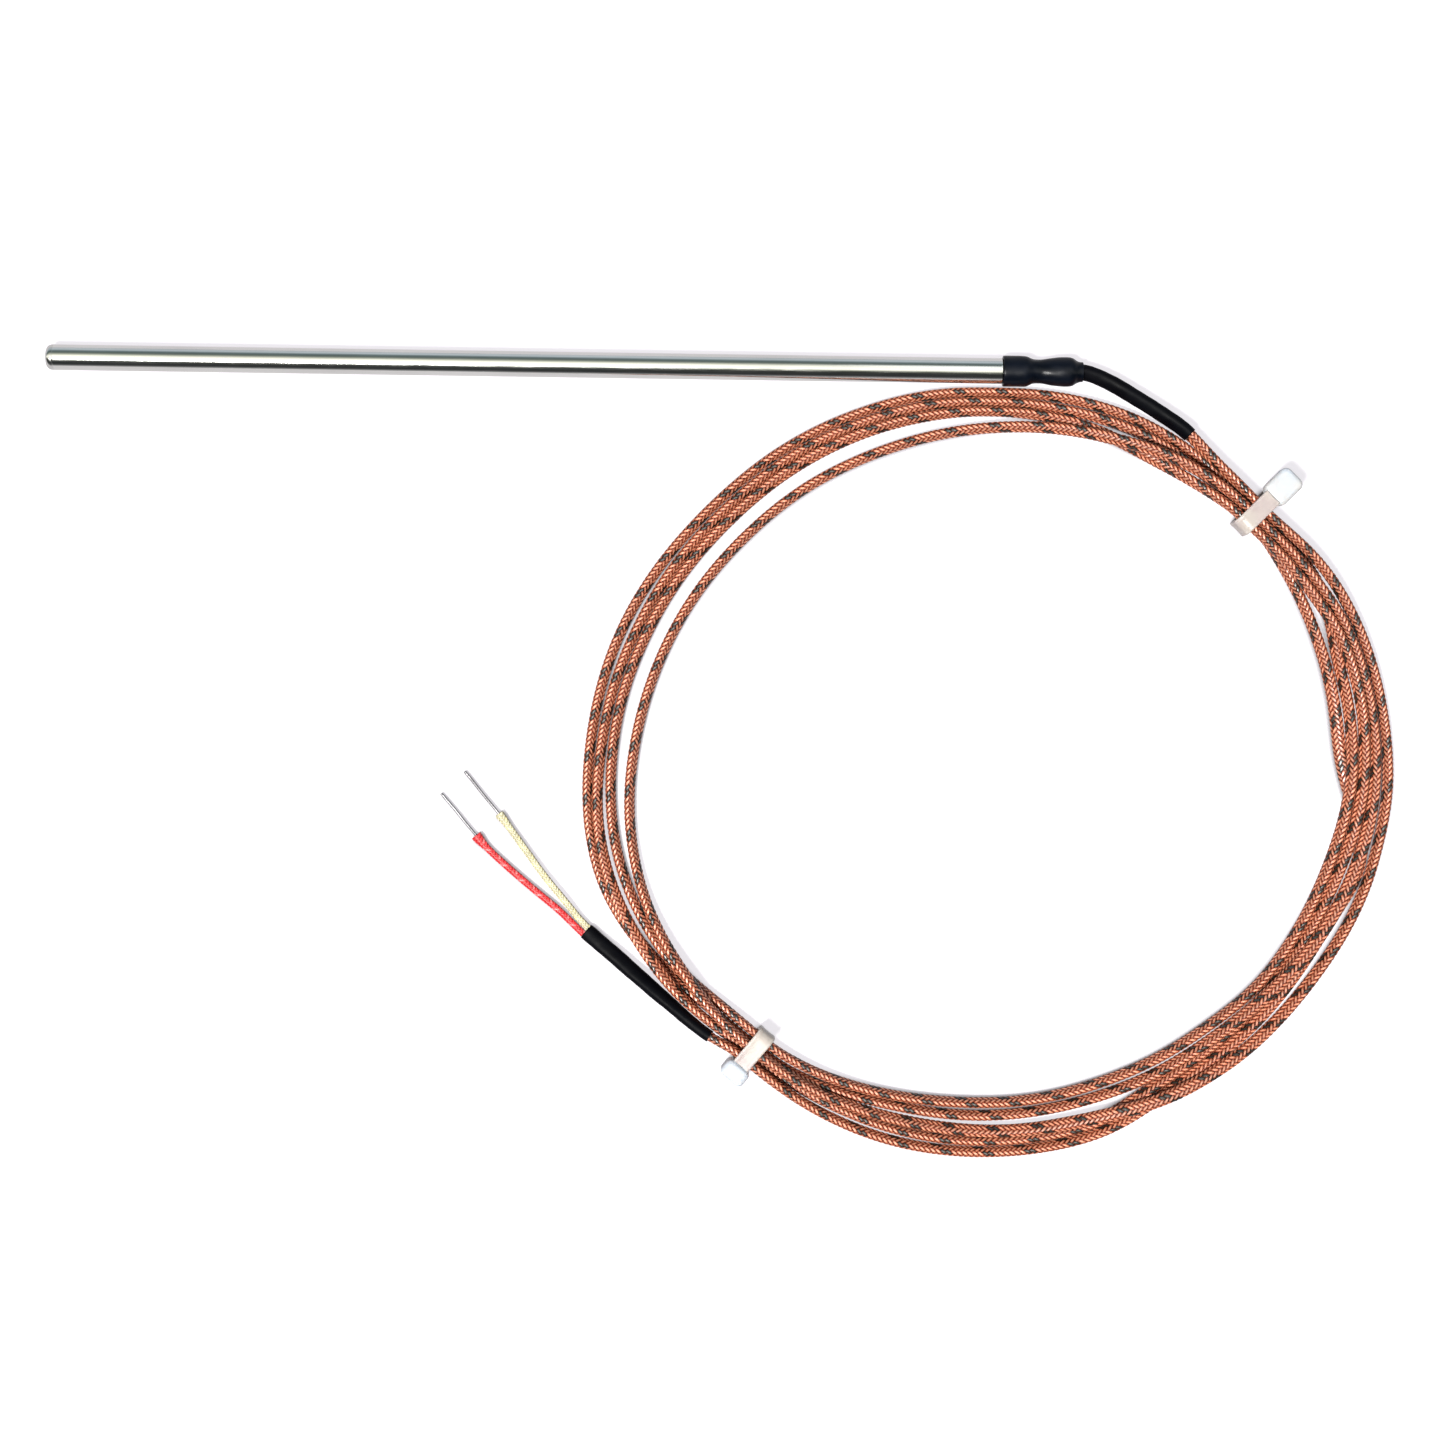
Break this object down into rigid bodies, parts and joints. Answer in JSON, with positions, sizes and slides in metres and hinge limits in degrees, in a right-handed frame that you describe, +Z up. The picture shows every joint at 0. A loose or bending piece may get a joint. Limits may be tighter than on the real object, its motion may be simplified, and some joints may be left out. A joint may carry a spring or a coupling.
{
  "type": "thermocouple",
  "caption": "Probe thermocouple: closed metal sheath, shrink boot and a coiled braided two-core cable held by cable ties, with bare lead ends.",
  "frame": {"origin": "outermost point of the closed sheath tip, on the sheath axis", "axes": "+X along the sheath from the tip towards the cable, +Z up from the table the part lies on, +Y away from the coil"},
  "size_m": [0.264, 0.1565, 0.0086],
  "materials": {
    "sheath_steel": "polished stainless steel",
    "alloy_wire": "bare drawn alloy wire",
    "ferrule": "tinned, bright",
    "white_cement": "matt cement",
    "bead_ceramic": "fired, unglazed",
    "fibre_bush": "woven glass fibre",
    "black_heatshrink": "satin polyolefin",
    "copper_braid": "glossy varnished glass fibre braid with dark tracers",
    "red_braid": "glass fibre braid",
    "yellow_braid": "glass fibre braid",
    "natural_nylon": "natural translucent nylon"
  },
  "bodies": {
    "coil": {"cable_braid": "copper_braid", "cable_braid_tail": "copper_braid", "core_insulation_negative": "red_braid", "core_wire_negative": "alloy_wire", "core_insulation_positive": "yellow_braid", "core_wire_positive": "alloy_wire", "strain_relief_sleeve": "black_heatshrink", "lead_end_sleeve": "black_heatshrink", "cable_tie_upper": "natural_nylon", "cable_tie_lower": "natural_nylon"},
    "probe": {"sheath_tube": "sheath_steel", "tip_plug": "sheath_steel", "hot_junction": "alloy_wire", "thermoelement_negative": "alloy_wire", "thermoelement_positive": "alloy_wire", "tip_cement": "white_cement", "insulator_bead_1": "bead_ceramic", "insulator_bead_2": "bead_ceramic", "insulator_bead_3": "bead_ceramic", "insulator_bead_4": "bead_ceramic", "insulator_bead_5": "bead_ceramic", "insulator_bead_6": "bead_ceramic", "insulator_bead_7": "bead_ceramic", "insulator_bead_8": "bead_ceramic", "splice_ferrule_negative": "ferrule", "splice_ferrule_positive": "ferrule", "rear_seal": "white_cement", "crimp_bush": "fibre_bush", "boot_heatshrink": "black_heatshrink"},
    "lead_negative": {"lead_insulation_negative": "red_braid", "lead_wire_negative": "alloy_wire"},
    "lead_positive": {"lead_insulation_positive": "yellow_braid", "lead_wire_positive": "alloy_wire"}
  },
  "joints": [
    {"name": "probe_swing", "type": "hinge", "parent": "coil", "child": "probe", "pos_m": [0.21324, -0.00526, 0], "axis": [0, 0, -1], "range_deg": [0, 30], "deforming": ["strain_relief_sleeve", "cable_braid_tail", "core_insulation_negative", "core_insulation_positive", "core_wire_negative", "core_wire_positive"]},
    {"name": "lead_negative_spread", "type": "hinge", "parent": "coil", "child": "lead_negative", "pos_m": [0.1059, -0.11088, -0.00182], "axis": [0, 0, 1], "range_deg": [0, 20]},
    {"name": "lead_positive_spread", "type": "hinge", "parent": "coil", "child": "lead_positive", "pos_m": [0.10685, -0.10972, -0.00184], "axis": [0, 0, -1], "range_deg": [0, 20]}
  ]
}
